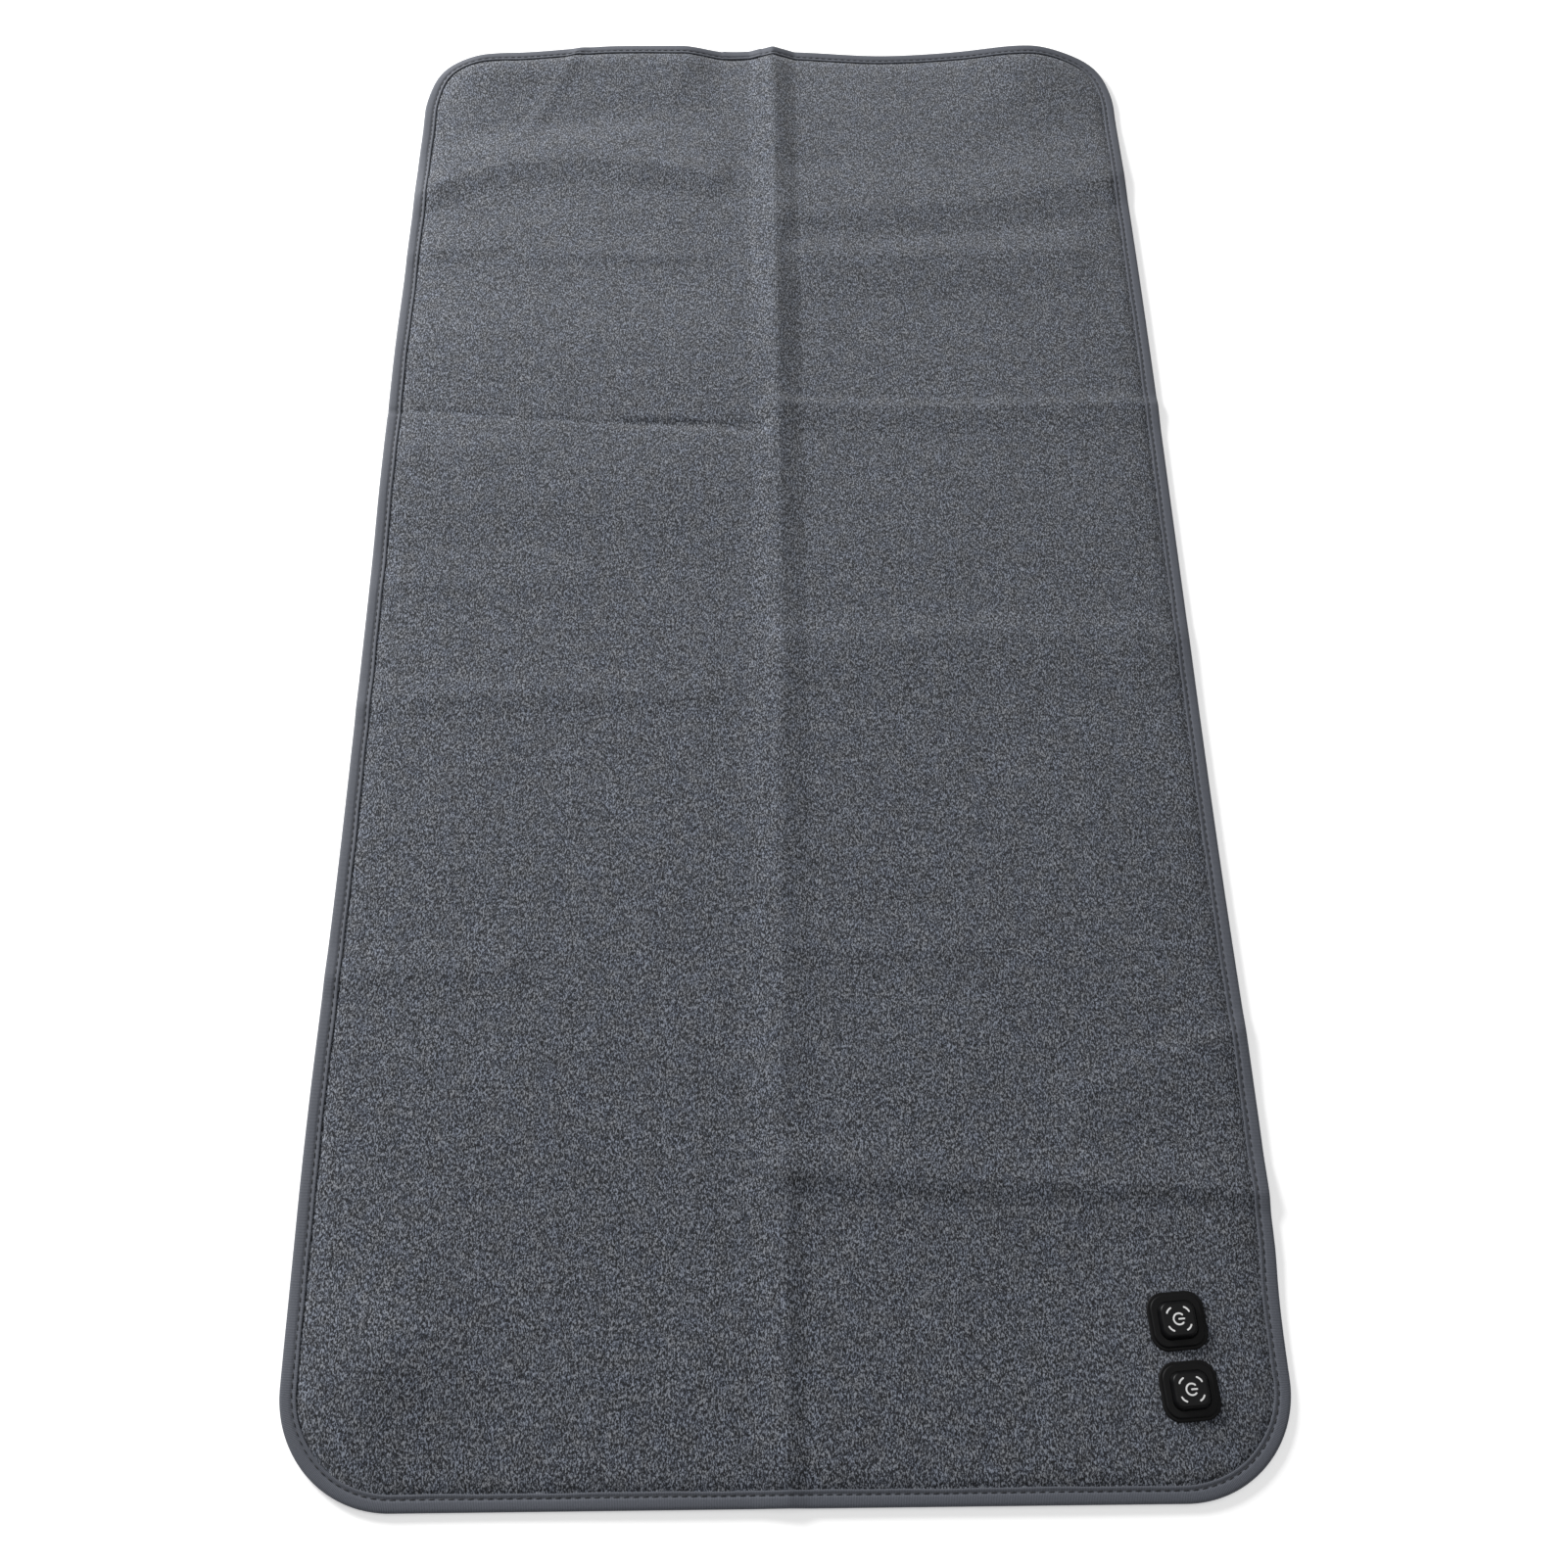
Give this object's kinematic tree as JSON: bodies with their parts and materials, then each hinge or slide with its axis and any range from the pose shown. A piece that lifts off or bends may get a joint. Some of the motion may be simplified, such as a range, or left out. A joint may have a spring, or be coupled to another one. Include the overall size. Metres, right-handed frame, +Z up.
{
  "type": "heated blanket",
  "caption": "Thin rectangular heating mat with a bound edge and push-button controllers in one corner; it folds in half lengthwise.",
  "frame": {"origin": "middle of the mat, on its underside", "axes": "+X across the width, towards the half with the controllers; +Y along the length, away from the controllers; +Z up, out of the face cloth"},
  "size_m": [0.6, 1.2, 0.0121],
  "materials": {
    "face_cloth": "heathered grey flannel",
    "binding_tape": "woven polyester tape, slate grey",
    "seam_thread": "polyester sewing thread",
    "backing": "dark grey woven polyester",
    "wadding": "white polyester wadding",
    "felt": "needle felt",
    "foil": "metallised film",
    "carbon_film": "carbon-printed polyester film",
    "copper": "copper strip",
    "lead_insulation": "silicone-insulated lead",
    "cutout_body": "sleeved thermal fuse",
    "eyelet": "black rubber",
    "terminal": "white nylon",
    "bezel": "black satin silicone",
    "cap": "black satin silicone",
    "sign": "white translucent inlay",
    "plunger": "black nylon",
    "switch": "black switch body",
    "board": "green circuit board",
    "screws": "zinc-plated steel",
    "chip": "moulded package",
    "leds": "clear lamp",
    "case": "black ABS",
    "clamp": "black nylon"
  },
  "bodies": {
    "right_half": {"backing_cloth_right": "backing", "bobbin_thread_right": "seam_thread", "comfort_wadding_right": "wadding", "copper_strips_right": "copper", "edge_binding_right": "binding_tape", "face_cloth_right": "face_cloth", "heating_film_right_1": "carbon_film", "heating_film_right_2": "carbon_film", "heating_film_right_3": "carbon_film", "heating_film_right_4": "carbon_film", "heating_film_right_5": "carbon_film", "insulation_felt_right": "felt", "lead_eyelet": "eyelet", "lead_terminal": "terminal", "lower_bezel": "bezel", "lower_board_screws": "screws", "lower_clamp_pins": "clamp", "lower_clamp_ring": "clamp", "lower_control_board": "board", "lower_control_case": "case", "lower_control_chip": "chip", "lower_indicator_leds": "leds", "lower_push_switch": "switch", "needle_thread_right": "seam_thread", "reflector_foil_right": "foil", "supply_leads": "lead_insulation", "thermal_cutout_right": "cutout_body", "upper_bezel": "bezel", "upper_board_screws": "screws", "upper_clamp_pins": "clamp", "upper_clamp_ring": "clamp", "upper_control_board": "board", "upper_control_case": "case", "upper_control_chip": "chip", "upper_indicator_leds": "leds", "upper_push_switch": "switch", "zone_leads_right": "lead_insulation"},
    "left_half": {"backing_cloth_left": "backing", "bobbin_thread_left": "seam_thread", "comfort_wadding_left": "wadding", "copper_strips_left": "copper", "edge_binding_left": "binding_tape", "face_cloth_left": "face_cloth", "heating_film_left_1": "carbon_film", "heating_film_left_2": "carbon_film", "heating_film_left_3": "carbon_film", "heating_film_left_4": "carbon_film", "heating_film_left_5": "carbon_film", "insulation_felt_left": "felt", "needle_thread_left": "seam_thread", "reflector_foil_left": "foil", "thermal_cutout_left": "cutout_body", "zone_leads_left": "lead_insulation"},
    "lower_cap": {"lower_button_cap": "cap", "lower_cap_sign": "sign", "lower_switch_plunger": "plunger"},
    "upper_cap": {"upper_button_cap": "cap", "upper_cap_sign": "sign", "upper_switch_plunger": "plunger"}
  },
  "joints": [
    {"name": "lengthwise_fold", "type": "hinge", "parent": "right_half", "child": "left_half", "pos_m": [0, 0, 0.0095], "axis": [0, 1, 0], "range_deg": [0, 176]},
    {"name": "lower_press", "type": "slide", "parent": "right_half", "child": "lower_cap", "axis": [0, 0, -1], "range_m": [0, 0.0006], "stiffness_N_per_m": 2500, "springref_m": -0.0002},
    {"name": "upper_press", "type": "slide", "parent": "right_half", "child": "upper_cap", "axis": [0, 0, -1], "range_m": [0, 0.0006], "stiffness_N_per_m": 2500, "springref_m": -0.0002}
  ]
}
